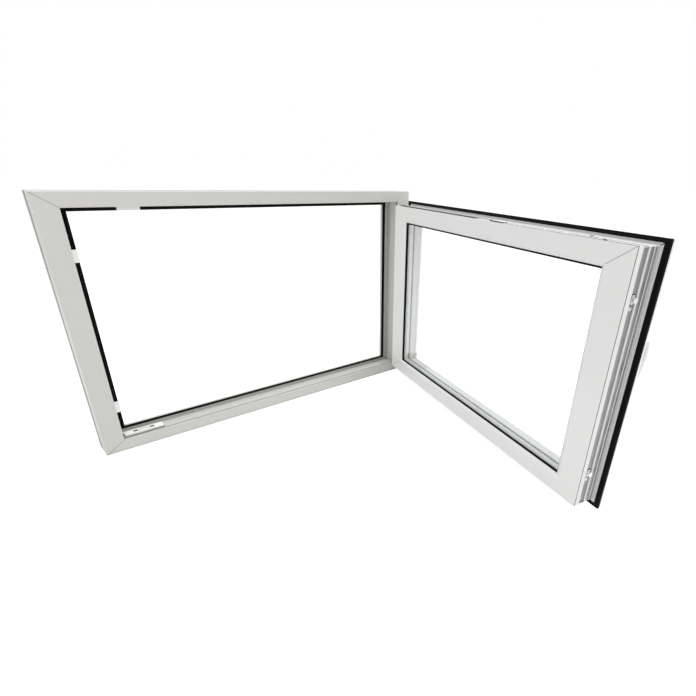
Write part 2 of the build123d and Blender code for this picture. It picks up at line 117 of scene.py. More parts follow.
# Screws: sizes, then places along their bars
KEEP_SCREW = Screw(radius=0.0026, height=0.0012)
FACEPLATE_SCREW = Screw(radius=0.0036, height=0.0012)
HINGE_SCREW = Screw(radius=0.0024, height=0.0009)
SCREW_STEPS = 20
SCREW_PROFILE = ((1.0, 0.0), (1.0, 0.35), (0.9, 0.8), (0.66, 1.0))
CROSS_REACH = 0.5
CROSS_HALF_WIDTH = 0.13
CROSS_DEPTH = 0.6
KEEP_SCREW_DEPTH = KEEP_FROM_FACE + 0.0138
KEEP_SCREW_OFFSET = 0.0088
CAM_SCREW_OFFSET = 0.016
TOP_SCREW_ALONGS = (0.12, 0.20, 0.26)
BOTTOM_SCREW_ALONGS = (-0.40, -0.24, -0.08, 0.08, 0.24, 0.40)
HINGE_SCREW_RISES = (0.0042, 0.0578)
HINGE_SCREW_OFFSET = 0.0050

# Welded joints: spans of the section as (start, end, outward), where outward is the sign of Y
MITRE_LINE_RISE = 0.00004
MITRE_LINE_DEPTH = 0.0004
MITRE_LINE_WIDTH = 0.0008
FLANGE_LINE_WIDTH = 0.0016
FRAME_SPANS = [((0.0010, 0.0), (0.0456, 0.0), -1)]
SASH_OUTSIDE_SPANS = [
    ((0.0174, 0.072), (0.0738, 0.072), 1),
    ((0.0742, 0.0718), (0.0828, 0.0672), 1),
]
SASH_ROOM_SPANS = [
    ((0.0044, 0.0), (0.0648, 0.0), -1),
    ((0.0652, 0.0), (0.0738, 0.0), -1),
    ((0.0744, 0.0003), (0.0826, 0.0077), -1),
    ((0.0003, 0.0076), (0.0037, 0.0004), -1),
]
FLANGE_SPANS = [((0.0100, 0.016), (0.0190, 0.016), 1)]

# Sections of the black strip in the outer groove, the seal lips, the painted shade lines and the
# gear rail
# A black strip in the frame's outer-side groove paints the groove's shade as a dark line.
OUTER_GROOVE_STRIP_SECTION = [
    (0.0029, 0.0403), (0.0012, 0.0403), (0.0006, 0.0412), (0.0003, 0.0435), (0.0002, 0.0460),
    (0.0003, 0.0485), (0.0006, 0.0508), (0.0012, 0.0517), (0.0029, 0.0517),
]
SEAL_LIP_SECTION = [
    (0.0815, 0.0641), (0.0892, 0.0641), (0.0896, 0.0648), (0.0892, 0.0658), (0.0836, 0.0664),
    (0.0815, 0.0664),
]
REBATE_SHADE_SECTION = [(0.0429, 0.0051), (0.0457, 0.0051), (0.0457, 0.0079), (0.0429, 0.0079)]
EDGE_SHADE_LINE_SECTION = [(0.0169, 0.0686), (0.0173, 0.0686), (0.0173, 0.0706), (0.0169, 0.0706)]
GEAR_RAIL_SECTION = [
    (0.0194, 0.0206), (0.0180, 0.0206), (0.0176, 0.0212), (0.0176, 0.0270), (0.0182, 0.0276),
    (0.0182, 0.0324), (0.0176, 0.0330), (0.0176, 0.0388), (0.0180, 0.0394), (0.0194, 0.0394),
]
STAY_SHADOW_SECTION = [(0.0160, 0.0573), (0.01715, 0.0573), (0.01715, 0.0655), (0.0160, 0.0655)]
RAIL_SHADE_LINE_SECTION = [(0.0166, 0.0655), (0.01715, 0.0655), (0.01715, 0.0700), (0.0166, 0.0700)]

# Where the lips, the gear rail and the painted shade lines start and end along their bars
LIP_FROM_EDGE = 0.0815
LIP_ON_RAIL = SASH_WIDTH / 2 - LIP_FROM_EDGE
LIP_ON_STILE = SASH_HEIGHT / 2 - LIP_FROM_EDGE * RAIL_RATIO
LIP_REACHES = {"bottom": LIP_ON_RAIL, "top": LIP_ON_RAIL, "right": LIP_ON_STILE}
GEAR_RAIL_SPAN = (-0.261, 0.261)
STAY_SHADOW_SPAN = (-0.429, -0.023)
RAIL_SHADE_LINE_SPAN = (0.095, 0.441)

# Small plates, with low and high measured from the surface that carries them
# Black plates a little larger than the pale plates laid on them paint a shadow rim round the cams,
# the stay knob and the striker.
CAM_SHADOW_RIM = Plate(0.0210, 0.0106, radius=0.0050, low=-0.0004, high=0.0006, chamfer=0.0002)
CAM_BASE = Plate(0.0180, 0.0078, radius=0.0038, low=0.0002, high=0.0016, chamfer=0.0003)
KNOB_SHADOW_RIM = Plate(0.056, 0.0160, radius=0.0079, low=-0.0001, high=0.0010, chamfer=0.0002)
KNOB_FACE = Plate(0.050, 0.0104, radius=0.0051, low=0.0001, high=0.0018, chamfer=0.0003)
RAIL_MARK = Plate(0.0080, 0.0060, radius=0.0029, low=-0.0001, high=0.0004, chamfer=0.0001)
STRIKER_SHADOW_PAD = Plate(0.0975, 0.0226, radius=0.0022, low=-0.0002, high=0.0011, chamfer=0.0003)
# The black slot plate paints the shade inside the striker's slot.
STRIKER_SLOT_SHADE = Plate(0.0516, 0.0076, radius=0.0036, low=0.0018, high=0.0056, chamfer=0.0002)
STRIKER_SLIDER = Plate(0.0310, 0.0050, radius=0.0016, low=0.0040, high=0.0060, chamfer=0.0003)
PLATE_CORNER_STEPS = 6
TOP_EDGE_INWARD = 0.0168
KNOB_PLACE = (0.058, TOP_EDGE_INWARD, 0.0600)
KNOB_FACE_SHIFT = 0.0044
RAIL_MARK_PLACE = (0.366, TOP_EDGE_INWARD, 0.0620)

# Colours
FRAME_WHITE = (0.612, 0.606, 0.577)
SASH_WHITE = (0.880, 0.890, 0.875)
PARTS_WHITE = (0.920, 0.920, 0.910)
HANDLE_WHITE = (0.800, 0.800, 0.790)
# The edge colours and shares here paint highlights along edges; the shade shares set a random
# darker tone.
PLASTIC_SHADE = 0.975
PLASTIC_EDGE_HIGHLIGHT = 1.35
LACQUER_SHADE = 0.97
SEAL_SHADE = 0.6
SEAL_EDGE_HIGHLIGHT = 1.5
SEAL_BLACK = (0.0025, 0.0025, 0.003)
BEAD_SEAL_GREY = (0.76, 0.76, 0.74)
JOINT_GREY = (0.12, 0.12, 0.115)
# Grey of the shade painted into recesses
RECESS_PAINTED_SHADE = (0.30, 0.30, 0.295, 1)
GLASS_TINT = (0.985, 0.995, 0.99, 1)
SPACER_GREY = (0.94, 0.94, 0.93, 1)
SPACER_SHADE = (0.88, 0.88, 0.88, 1)
SPACER_EDGE_HIGHLIGHT = (0.96, 0.96, 0.96, 1)
SPACER_HOLE_GREY = (0.2, 0.2, 0.2, 1)
ZINC_COLOUR = (1.0, 1.01, 1.01)
ZINC_SHADE = (0.78, 0.80, 0.81)
ZINC_EDGE_HIGHLIGHT = (1.25, 1.25, 1.25)
FLOOR_COLOUR = (0.80, 0.80, 0.80, 1)
FLOOR_PATCHES = (0.82, 0.82, 0.82, 1)
WHITE = (1, 1, 1, 1)

# Limits and shares in the node groups
LINE_LENGTHENING = 0.985
LINE_CONTRAST = (0.35, 0.65)
GRAIN_CONTRAST = (0.3, 0.7)
PATCH_CONTRAST = (0.35, 0.7)
RECESS_LIMITS = (0.30, 0.85)
RECESS_SAMPLES = 8
EDGE_LIMITS = (0.99, 0.82)
EDGE_SAMPLES = 4

# Relief of the surfaces: the scale of its noise, and its height as a bump
EXTRUSION_LINES = 700.0
DRAWING_LINES = 1500.0
LINE_HEIGHT = 0.00002
RUBBER_TOOTH = 2600.0
TOOTH_HEIGHT = 0.00003
LACQUER_PEEL = 420.0
PEEL_HEIGHT = 0.00004
SPACER_HOLE_SCALE = 320.0
SPACER_HOLE_RIM = (0.12, 0.2)
SPACER_HOLE_DARKNESS = 0.55
GLASS_IOR = 1.3

# Stage
FLOOR_SIZE = 60
FLOOR_PATCH_SCALE = 3.0
FLOOR_WHITENING = 0.69
WORLD_LIGHT = 0.50
LAMP_AIM = (0, -0.3, 0.3)
LAMP_SIZE = 2.6
LAMPS = {
    "left_softbox": ((-3.0, -0.6, 1.6), 8),
    "room_softbox": ((-0.6, -3.4, 1.5), 18),
    "top_softbox": ((0.3, -0.6, 3.2), 80),
}


def on_side(ring, side, along, inward, depth):
    """A place on one side of a ring of bars: X along the bar, Z inward and Y away from the room."""
    level = side in ("bottom", "top")
    extent = ring.height if level else ring.width
    share = RAIL_RATIO if level else 1
    turned = Matrix.Translation((0, ring.face_y, WINDOW_HEIGHT / 2)) @ Matrix.Rotation(
        math.radians(TURNS[side]), 4, "Y"
    )
    return turned @ Matrix.Translation((along, depth, inward * share - extent / 2))


def frame_place(side, along, inward, depth):
    """A place on the fixed frame."""
    return on_side(FRAME_RING, side, along, inward, depth)


def sash_place(side, along, inward, depth):
    """A place on the sash as it stands open."""
    return OPENED @ on_side(SASH_RING, side, along, inward, depth)


def faceplate_place(side, along):
    """A place on a faceplate in the sash's groove, with Z pointing out of the plate."""
    on_floor = sash_place(side, along, GROOVE_FLOOR, GROOVE_MIDDLE)
    lifted = on_floor @ Matrix.Translation((0, 0, -FACEPLATE_THICKNESS))
    return lifted @ Matrix.Rotation(math.pi, 4, "X")


def corner(ring, inward, depth, x_sign, z_sign):
    """Where a line of a bar's section meets the mitre at one corner of a ring."""
    x = x_sign * (ring.width / 2 - inward)
    z = WINDOW_HEIGHT / 2 + z_sign * (ring.height / 2 - inward * RAIL_RATIO)
    return Vector((x, ring.face_y + depth, z))


def give(tree, term, socket):
    """An input's value, set from a number or a tuple, or linked from a socket."""
    if isinstance(term, (int, float, tuple)):
        socket.default_value = term
    else:
        tree.links.new(term, socket)


def maths(tree, operation, first, second):
    """A Math node of that operation. Each term is a socket or a number."""
    node = tree.nodes.new("ShaderNodeMath")
    node.operation = operation
    give(tree, first, node.inputs[0])
    give(tree, second, node.inputs[1])
    return node.outputs[0]


def vector_maths(tree, operation, first, second):
    """A Vector Math node of that operation on two vectors, each a socket or a tuple."""
    node = tree.nodes.new("ShaderNodeVectorMath")
    node.operation = operation
    give(tree, first, node.inputs[0])
    give(tree, second, node.inputs[1])
    return node.outputs["Value" if operation == "DOT_PRODUCT" else "Vector"]


def object_place(tree):
    """The place on the object itself."""
    return tree.nodes.new("ShaderNodeTexCoord").outputs["Object"]


def noise(tree, vector, scale, detail):
    """A Noise Texture's value. The scale is a socket or a number."""
    node = tree.nodes.new("ShaderNodeTexNoise")
    node.inputs["Detail"].default_value = detail
    tree.links.new(vector, node.inputs["Vector"])
    give(tree, scale, node.inputs["Scale"])
    return node.outputs["Fac"]


def map_range(tree, value, low, high, to_low=0.0, to_high=1.0):
    """A clamped Map Range of a value, with numbers or sockets as its limits."""
    node = tree.nodes.new("ShaderNodeMapRange")
    tree.links.new(value, node.inputs["Value"])
    for index, term in enumerate((low, high, to_low, to_high)):
        give(tree, term, node.inputs[index + 1])
    return node.outputs["Result"]


def mix_colours(tree, share, first, second):
    """A colour between two, by a share. Each colour is a socket or a tuple."""
    node = tree.nodes.new("ShaderNodeMix")
    node.data_type = "RGBA"
    tree.links.new(share, node.inputs["Factor"])
    give(tree, first, node.inputs[6])
    give(tree, second, node.inputs[7])
    return node.outputs[2]


def new_group(name, inputs, outputs):
    """An empty shader node group. Inputs are (socket type, name, default), outputs (type, name)."""
    group = bpy.data.node_groups.new(name, "ShaderNodeTree")
    for kind, label, default in inputs:
        socket = group.interface.new_socket(name=label, in_out="INPUT", socket_type=kind)
        socket.default_value = default
    for kind, label in outputs:
        group.interface.new_socket(name=label, in_out="OUTPUT", socket_type=kind)
    entry = group.nodes.new("NodeGroupInput")
    exit_node = group.nodes.new("NodeGroupOutput")
    return group, entry.outputs, exit_node.inputs


def build_drawn_lines():
    """Fine lines along a bar, as extrusion or drawing leaves them."""
    group, given, result = new_group(
        "drawn_lines",
        [
            ("NodeSocketVector", "Direction", (1, 0, 0)),
            ("NodeSocketFloat", "Line Scale", 900.0),
            ("NodeSocketFloat", "Strength", 1.0),
        ],
        [("NodeSocketFloat", "Height"), ("NodeSocketFloat", "Mask")],
    )
    place = object_place(group)
    along = vector_maths(group, "DOT_PRODUCT", place, given["Direction"])
    lengthwise = group.nodes.new("ShaderNodeVectorMath")
    lengthwise.operation = "SCALE"
    group.links.new(given["Direction"], lengthwise.inputs[0])
    part_along = maths(group, "MULTIPLY", along, LINE_LENGTHENING)
    group.links.new(part_along, lengthwise.inputs["Scale"])
    across = vector_maths(group, "SUBTRACT", place, lengthwise.outputs["Vector"])
    texture = noise(group, across, given["Line Scale"], detail=3)
    lines = map_range(group, texture, *LINE_CONTRAST)
    group.links.new(maths(group, "MULTIPLY", lines, given["Strength"]), result["Height"])
    group.links.new(lines, result["Mask"])
    return group


def build_fine_grain():
    """The even grain of a moulded, sprayed or plated surface."""
    group, given, result = new_group(
        "fine_grain",
        [("NodeSocketFloat", "Grain Scale", 1800.0), ("NodeSocketFloat", "Strength", 1.0)],
        [("NodeSocketFloat", "Height"), ("NodeSocketFloat", "Mask")],
    )
    texture = noise(group, object_place(group), given["Grain Scale"], detail=2)
    grain = map_range(group, texture, *GRAIN_CONTRAST)
    group.links.new(maths(group, "MULTIPLY", grain, given["Strength"]), result["Height"])
    group.links.new(grain, result["Mask"])
    return group


def build_tone_and_painted_light():
    """Broad, faint changes of tone, painted shade in recesses, and painted light along edges: a
    highlight where the edge colour is lighter, a dark outline where it is darker.
    """
    group, given, result = new_group(
        "tone_and_painted_light",
        [
            ("NodeSocketColor", "Colour", (0.8, 0.8, 0.8, 1)),
            ("NodeSocketColor", "Shaded Colour", (0.7, 0.7, 0.7, 1)),
            ("NodeSocketColor", "Edge Colour", (0.9, 0.9, 0.9, 1)),
            ("NodeSocketFloat", "Patch Scale", 6.0),
            ("NodeSocketFloat", "Patch Amount", 0.3),
            ("NodeSocketFloat", "Edge Width", 0.0008),
            ("NodeSocketFloat", "Edge Amount", 0.5),
            ("NodeSocketFloat", "Roughness", 0.4),
            ("NodeSocketFloat", "Roughness Change", 0.08),
            ("NodeSocketFloat", "Recess Reach", 0.014),
            ("NodeSocketFloat", "Recess Amount", 0.0),
        ],
        [
            ("NodeSocketColor", "Colour"),
            ("NodeSocketFloat", "Roughness"),
            ("NodeSocketFloat", "Edges"),
        ],
    )
    texture = noise(group, object_place(group), given["Patch Scale"], detail=4)
    patches = map_range(group, texture, *PATCH_CONTRAST)
    patch_share = maths(group, "MULTIPLY", patches, given["Patch Amount"])
    toned = mix_colours(group, patch_share, given["Colour"], given["Shaded Colour"])
    # An occlusion mask paints shade into recesses and inner corners with a grey.
    hollow = group.nodes.new("ShaderNodeAmbientOcclusion")
    hollow.samples = RECESS_SAMPLES
    group.links.new(given["Recess Reach"], hollow.inputs["Distance"])
    recess = map_range(group, hollow.outputs["AO"], *RECESS_LIMITS, to_low=1.0, to_high=0.0)
    recess_shade_share = maths(group, "MULTIPLY", recess, given["Recess Amount"])
    toned = mix_colours(group, recess_shade_share, toned, RECESS_PAINTED_SHADE)
    # A bevel mask paints light along convex edges: a highlight with a lighter edge colour, a dark
    # outline with a darker one.
    rounded = group.nodes.new("ShaderNodeBevel")
    rounded.samples = EDGE_SAMPLES
    group.links.new(given["Edge Width"], rounded.inputs["Radius"])
    true_normal = group.nodes.new("ShaderNodeNewGeometry").outputs["Normal"]
    likeness = vector_maths(group, "DOT_PRODUCT", rounded.outputs["Normal"], true_normal)
    edges = map_range(group, likeness, *EDGE_LIMITS)
    painted_edge_share = maths(group, "MULTIPLY", edges, given["Edge Amount"])
    colour = mix_colours(group, painted_edge_share, toned, given["Edge Colour"])
    rougher = maths(group, "MULTIPLY", patches, given["Roughness Change"])
    group.links.new(colour, result["Colour"])
    group.links.new(maths(group, "ADD", given["Roughness"], rougher), result["Roughness"])
    group.links.new(edges, result["Edges"])
    return group


DRAWN_LINES = build_drawn_lines()
FINE_GRAIN = build_fine_grain()
TONE_AND_PAINTED_LIGHT = build_tone_and_painted_light()


def new_material(name):
    """A node material and its Principled BSDF."""
    material = bpy.data.materials.new(name)
    material.use_nodes = True
    return material, material.node_tree.nodes["Principled BSDF"]


def use_group(tree, group, **values):
    """A group in a material, its inputs set by name with underscores for blanks."""
    node = tree.nodes.new("ShaderNodeGroup")
    node.node_tree = group
    for name, value in values.items():
        node.inputs[name.replace("_", " ")].default_value = value
    return node.outputs


def bump(tree, shader, height, distance):
    """A Bump node from a height to the shader's normal."""
    node = tree.nodes.new("ShaderNodeBump")
    node.inputs["Distance"].default_value = distance
    node.inputs["Strength"].default_value = 1.0
    tree.links.new(height, node.inputs["Height"])
    tree.links.new(node.outputs["Normal"], shader.inputs["Normal"])


def lines_along(direction, scale):
    """Maker of drawn lines in that direction."""
    return lambda tree: use_group(
        tree, DRAWN_LINES, Direction=tuple(direction), Line_Scale=scale, Strength=1.0
    )


def grain_of(scale):
    """Maker of an even grain."""
    return lambda tree: use_group(tree, FINE_GRAIN, Grain_Scale=scale, Strength=1.0)


def scaled(colour, factor):
    """A colour made lighter or darker."""
    return tuple(factor * part for part in colour)


def surface_material(
    name, colour, shaded, edge, roughness, relief, specular=0.5, metallic=0.0, **tone
):
    """A finish with broad tone, painted shade in recesses and painted light along edges. relief is
    (maker of the relief, its height).
    """
    material, shader = new_material(name)
    tree = material.node_tree
    made = use_group(
        tree, TONE_AND_PAINTED_LIGHT, Colour=(*colour, 1), Shaded_Colour=(*shaded, 1),
        Edge_Colour=(*edge, 1), Roughness=roughness, **tone,
    )
    tree.links.new(made["Colour"], shader.inputs["Base Color"])
    tree.links.new(made["Roughness"], shader.inputs["Roughness"])
    shader.inputs["Metallic"].default_value = metallic
    shader.inputs["Specular IOR Level"].default_value = specular
    make_relief, height = relief
    bump(tree, shader, make_relief(tree)["Height"], height)
    return material


def plastic(name, colour, direction):
    """White extruded window plastic with its lines along the bar, a painted highlight on its edges
    and painted shade in its recesses.
    """
    edge = tuple(min(1.0, part) for part in scaled(colour, PLASTIC_EDGE_HIGHLIGHT))
    return surface_material(
        name, colour, scaled(colour, PLASTIC_SHADE), edge, roughness=0.36, specular=0.45,
        relief=(lines_along(direction, EXTRUSION_LINES), LINE_HEIGHT),
        Patch_Scale=5.0, Patch_Amount=0.5, Edge_Width=0.0011, Edge_Amount=0.9,
        Recess_Reach=0.014, Recess_Amount=0.5,
    )


def zinc(name, direction, tone):
    """Silver plated steel strip of that tone with fine drawing lines and a painted highlight on its
    edges.
    """
    tints = (scaled(tint, tone) for tint in (ZINC_COLOUR, ZINC_SHADE, ZINC_EDGE_HIGHLIGHT))
    return surface_material(
        name, *tints, roughness=0.34, metallic=1.0,
        relief=(lines_along(direction, DRAWING_LINES), LINE_HEIGHT), Roughness_Change=0.16,
        Patch_Scale=26.0, Patch_Amount=0.8, Edge_Width=0.0005, Edge_Amount=0.6,
    )


def seal_rubber(name, colour, specular):
    """Matt extruded rubber with a fine tooth and a painted highlight on its edges."""
    return surface_material(
        name, colour, scaled(colour, SEAL_SHADE), scaled(colour, SEAL_EDGE_HIGHLIGHT),
        roughness=0.62, specular=specular, relief=(grain_of(RUBBER_TOOTH), TOOTH_HEIGHT),
        Patch_Scale=30.0, Patch_Amount=0.6, Edge_Width=0.0004, Edge_Amount=0.5,
    )


def lacquer(name, colour, edge_tone, edge_width):
    """Smooth white stoved lacquer on metal, with a faint peel and painted light on its edges: a
    highlight where edge_tone is above 1, a dark outline where it is below.
    """
    return surface_material(
        name, colour, scaled(colour, LACQUER_SHADE), scaled(colour, edge_tone),
        roughness=0.24, relief=(grain_of(LACQUER_PEEL), PEEL_HEIGHT),
        Patch_Scale=14.0, Patch_Amount=0.5, Edge_Width=edge_width, Edge_Amount=0.8,
    )


def pane_glass():
    """Clear float glass."""
    material, shader = new_material("clear_glass")
    shader.inputs["Base Color"].default_value = GLASS_TINT
    shader.inputs["Roughness"].default_value = 0.0
    shader.inputs["IOR"].default_value = GLASS_IOR
    shader.inputs["Transmission Weight"].default_value = 1.0
    return material


def spacer_strip():
    """The pale matt strip between the panes, with its row of breathing holes and a faint painted
    highlight on its edges.
    """
    material, shader = new_material("spacer_aluminium")
    tree = material.node_tree
    made = use_group(
        tree, TONE_AND_PAINTED_LIGHT, Colour=SPACER_GREY, Shaded_Colour=SPACER_SHADE,
        Edge_Colour=SPACER_EDGE_HIGHLIGHT, Roughness=0.42, Patch_Scale=25.0, Patch_Amount=0.4,
    )
    holes = tree.nodes.new("ShaderNodeTexVoronoi")
    holes.inputs["Scale"].default_value = SPACER_HOLE_SCALE
    holes.inputs["Randomness"].default_value = 0.0
    tree.links.new(object_place(tree), holes.inputs["Vector"])
    distance = holes.outputs["Distance"]
    dots = map_range(tree, distance, *SPACER_HOLE_RIM, to_low=SPACER_HOLE_DARKNESS, to_high=0.0)
    colour = mix_colours(tree, dots, made["Colour"], SPACER_HOLE_GREY)
    tree.links.new(colour, shader.inputs["Base Color"])
    tree.links.new(made["Roughness"], shader.inputs["Roughness"])
    return material


frame_level = plastic("frame_plastic_level", FRAME_WHITE, ALONG_LEVEL)
frame_upright = plastic("frame_plastic_upright", FRAME_WHITE, ALONG_UPRIGHT)
sash_level = plastic("sash_plastic_level", SASH_WHITE, ALONG_SASH_RAIL)
sash_upright = plastic("sash_plastic_upright", SASH_WHITE, ALONG_UPRIGHT)
zinc_rail = zinc("zinc_rail", ALONG_SASH_RAIL, tone=0.56)
zinc_upright = zinc("zinc_upright", ALONG_UPRIGHT, tone=0.56)
zinc_plate = zinc("zinc_plate", ALONG_UPRIGHT, tone=0.34)
zinc_pale = zinc("zinc_pale", ALONG_UPRIGHT, tone=0.78)
zinc_rolled = zinc("zinc_rolled", ALONG_UPRIGHT, tone=0.63)
black_seal = seal_rubber("black_seal", SEAL_BLACK, specular=0.08)
grey_seal = seal_rubber("grey_seal", BEAD_SEAL_GREY, specular=0.3)
joint_grey = seal_rubber("joint_grey", JOINT_GREY, specular=0.2)
keep_lacquer = lacquer("keep_lacquer", PARTS_WHITE, edge_tone=1.05, edge_width=0.0008)
# The handle's low edge tone paints dark outlines along its edges.
handle_lacquer = lacquer("handle_lacquer", HANDLE_WHITE, edge_tone=0.42, edge_width=0.0016)
clear_glass = pane_glass()
spacer_aluminium = spacer_strip()

PROFILES = [
    name for name in nodes if name.startswith(("frame_", "sash_")) and "gasket" not in name
]
BEADS = ("bead_bottom", "bead_lock", "bead_top", "bead_hinge")
KEEPS = ("keep_lock_jamb_lower", "keep_lock_jamb_upper", "keep_head", "tilt_striker")
BLACK_SEALS = [name for name in nodes if "gasket" in name and not name.startswith("inner")]
FINISHES = {
    frame_level: ("frame_sill", "frame_head"),
    frame_upright: ("frame_lock_jamb", "frame_hinge_jamb"),
    sash_level: ("sash_bottom_rail", "sash_top_rail", "bead_bottom", "bead_top"),
    sash_upright: ("sash_lock_stile", "sash_hinge_stile", "bead_lock", "bead_hinge"),
    black_seal: BLACK_SEALS,
    grey_seal: ("inner_glazing_gasket",),
    clear_glass: ("outer_pane", "inner_pane"),
    spacer_aluminium: ("spacer",),
    zinc_rail: ("top_rail_faceplate", "bottom_rail_faceplate", "stay_arm", "top_cam"),
    zinc_upright: (
        "hinge_bracket_lower", "hinge_bracket_upper", "hinge_leaf_lower", "hinge_leaf_upper",
    ),
    zinc_plate: ("lock_stile_faceplate",),
    zinc_pale: ("lock_cam_lower", "lock_cam_upper"),
    keep_lacquer: KEEPS,
    handle_lacquer: ("handle_rosette", "handle_lever"),
}


def dress_nodes():
    """Every CAD node gets its finish."""
    for material, names in FINISHES.items():
        for name in names:
            node = nodes[name]
            node.data.materials.clear()
            node.data.materials.append(material)


def round_edges(names, width):
    """A small rounding on the edges of CAD nodes, which also opens a fine line along the mitres."""
    for name in names:
        rounding = nodes[name].modifiers.new("rounded_edges", "BEVEL")
        rounding.width = width
        rounding.segments = ROUNDING_SEGMENTS
        rounding.limit_method = "ANGLE"
        rounding.angle_limit = ROUNDING_ANGLE


def new_piece(name, mesh, material):
    """A finished mesh as a piece of the window."""
    bmesh.ops.recalc_face_normals(mesh, faces=mesh.faces)
    data = bpy.data.meshes.new(name)
    mesh.to_mesh(data)
    mesh.free()
    data.materials.append(material)
    piece = bpy.data.objects.new(name, data)
    bpy.context.scene.collection.objects.link(piece)
    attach(piece, "root")
    return piece


def skin(mesh, loops):
    """Faces from each loop of vertices to the next."""
    for low, high in zip(loops, loops[1:]):
        for step in range(len(low)):
            after = (step + 1) % len(low)
            mesh.faces.new((low[step], low[after], high[after], high[step]))


def closed_skin(mesh, loops):
    """Faces from each loop of vertices to the next, and one on each end."""
    skin(mesh, loops)
    mesh.faces.new(loops[0][::-1])
    mesh.faces.new(loops[-1])


def ring_piece(name, section, ring, material, turned=Matrix()):
    """A closed section carried round the four corners of a ring."""
    mesh = bmesh.new()
    loops = [
        [mesh.verts.new(turned @ corner(ring, inward, depth, *signs)) for signs in CORNERS]
        for inward, depth in section
    ]
    skin(mesh, loops + loops[:1])
    return new_piece(name, mesh, material)


def bar_piece(name, section, side, span, material):
    """A closed section run along one side of the sash, over a span of (start, end)."""
    mesh = bmesh.new()
    loops = []
    for along in span:
        points = [sash_place(side, along, inward, depth).translation for inward, depth in section]
        loops.append([mesh.verts.new(point) for point in points])
    closed_skin(mesh, loops)
    return new_piece(name, mesh, material)


def mitre_lines(
    name, spans, corners, ring, material, turned=Matrix(), line_width=MITRE_LINE_WIDTH
):
    """The fine welded joint at those corners, over spans of the section."""
    mesh = bmesh.new()
    for signs in corners:
        for start, end, outward in spans:
            first, last = corner(ring, *start, *signs), corner(ring, *end, *signs)
            out = Vector((0, outward, 0))
            side = (last - first).cross(out).normalized() * (line_width / 2)
            loops = []
            for point in (first, last):
                crown = point + out * MITRE_LINE_RISE
                sunk = point - out * MITRE_LINE_DEPTH
                outline = (crown - side, crown + side, sunk + side, sunk - side)
                loops.append([mesh.verts.new(turned @ place) for place in outline])
            closed_skin(mesh, loops)
    return new_piece(name, mesh, material)


def screw_head(mesh, place, screw):
    """A pan head with a cross recess, standing on z = 0 of its place."""
    loops = []
    for radius_share, height_share in SCREW_PROFILE:
        reach, level = radius_share * screw.radius, height_share * screw.height
        loop = []
        for step in range(SCREW_STEPS):
            turn = 2 * math.pi * step / SCREW_STEPS
            point = Vector((reach * math.cos(turn), reach * math.sin(turn), level))
            loop.append(mesh.verts.new(place @ point))
        loops.append(loop)
    skin(mesh, loops)
    arm, half = CROSS_REACH * screw.radius, CROSS_HALF_WIDTH * screw.radius
    cross = []
    for quarter in range(4):
        spin = Matrix.Rotation(math.pi / 2 * quarter, 4, "Z")
        for x, y in ((half, -half), (arm, -half), (arm, half)):
            cross.append(spin @ Vector((x, y, screw.height)))
    sunk = Vector((0, 0, CROSS_DEPTH * screw.height))
    rim = [mesh.verts.new(place @ point) for point in cross]
    bottom = [mesh.verts.new(place @ (point - sunk)) for point in cross]
    edges = []
    for loop in (loops[-1], rim):
        for start, end in zip(loop, loop[1:] + loop[:1]):
            edges.append(mesh.edges.get((start, end)) or mesh.edges.new((start, end)))
    bmesh.ops.triangle_fill(mesh, use_beauty=True, edges=edges)
    skin(mesh, [rim, bottom])
    mesh.faces.new(bottom)
    mesh.faces.new(loops[0][::-1])


def screws(name, places, screw, material):
    """One piece with a screw head at each place."""
    mesh = bmesh.new()
    for place in places:
        screw_head(mesh, place, screw)
    return new_piece(name, mesh, material)


def rounded_outline(length, width, radius):
    """Points of a rectangle with rounded corners, centred on its place."""
    points = []
    for quarter, (x_sign, y_sign) in enumerate(((1, 1), (-1, 1), (-1, -1), (1, -1))):
        centre_x = x_sign * (length / 2 - radius)
        centre_y = y_sign * (width / 2 - radius)
        for step in range(PLATE_CORNER_STEPS + 1):
            turn = math.pi / 2 * (quarter + step / PLATE_CORNER_STEPS)
            points.append((centre_x + radius * math.cos(turn), centre_y + radius * math.sin(turn)))
    return points


def plates(name, places, plate, material):
    """One piece with the same plate at each place, its corners rounded and its rim chamfered."""
    levels = ((0.0, plate.low), (0.0, plate.high - plate.chamfer), (plate.chamfer, plate.high))
    mesh = bmesh.new()
    for place in places:
        loops = []
        for inset, level in levels:
            outline = rounded_outline(
                plate.length - 2 * inset, plate.width - 2 * inset, plate.radius - inset
            )
            loops.append([mesh.verts.new(place @ Vector((x, y, level))) for x, y in outline])
        closed_skin(mesh, loops)
    return new_piece(name, mesh, material)


def camera():
    """The photo's view."""
    data = bpy.data.cameras.new("camera")
    data.lens = CAMERA_LENS
    data.sensor_width = CAMERA_SENSOR
    data.shift_x, data.shift_y = CAMERA_SHIFT
    data.clip_start = CAMERA_NEAR
    view = bpy.data.objects.new("camera", data)
    bpy.context.scene.collection.objects.link(view)
    view.location = CAMERA_PLACE
    view.rotation_euler = [math.radians(angle) for angle in CAMERA_TURN]
    bpy.context.scene.camera = view


def seen_white(tree):
    """1 where a camera, glossy or transmission ray asks, else 0."""
    path = tree.nodes.new("ShaderNodeLightPath").outputs
    either = maths(tree, "MAXIMUM", path["Is Camera Ray"], path["Is Glossy Ray"])
    return maths(tree, "MAXIMUM", either, path["Is Transmission Ray"])


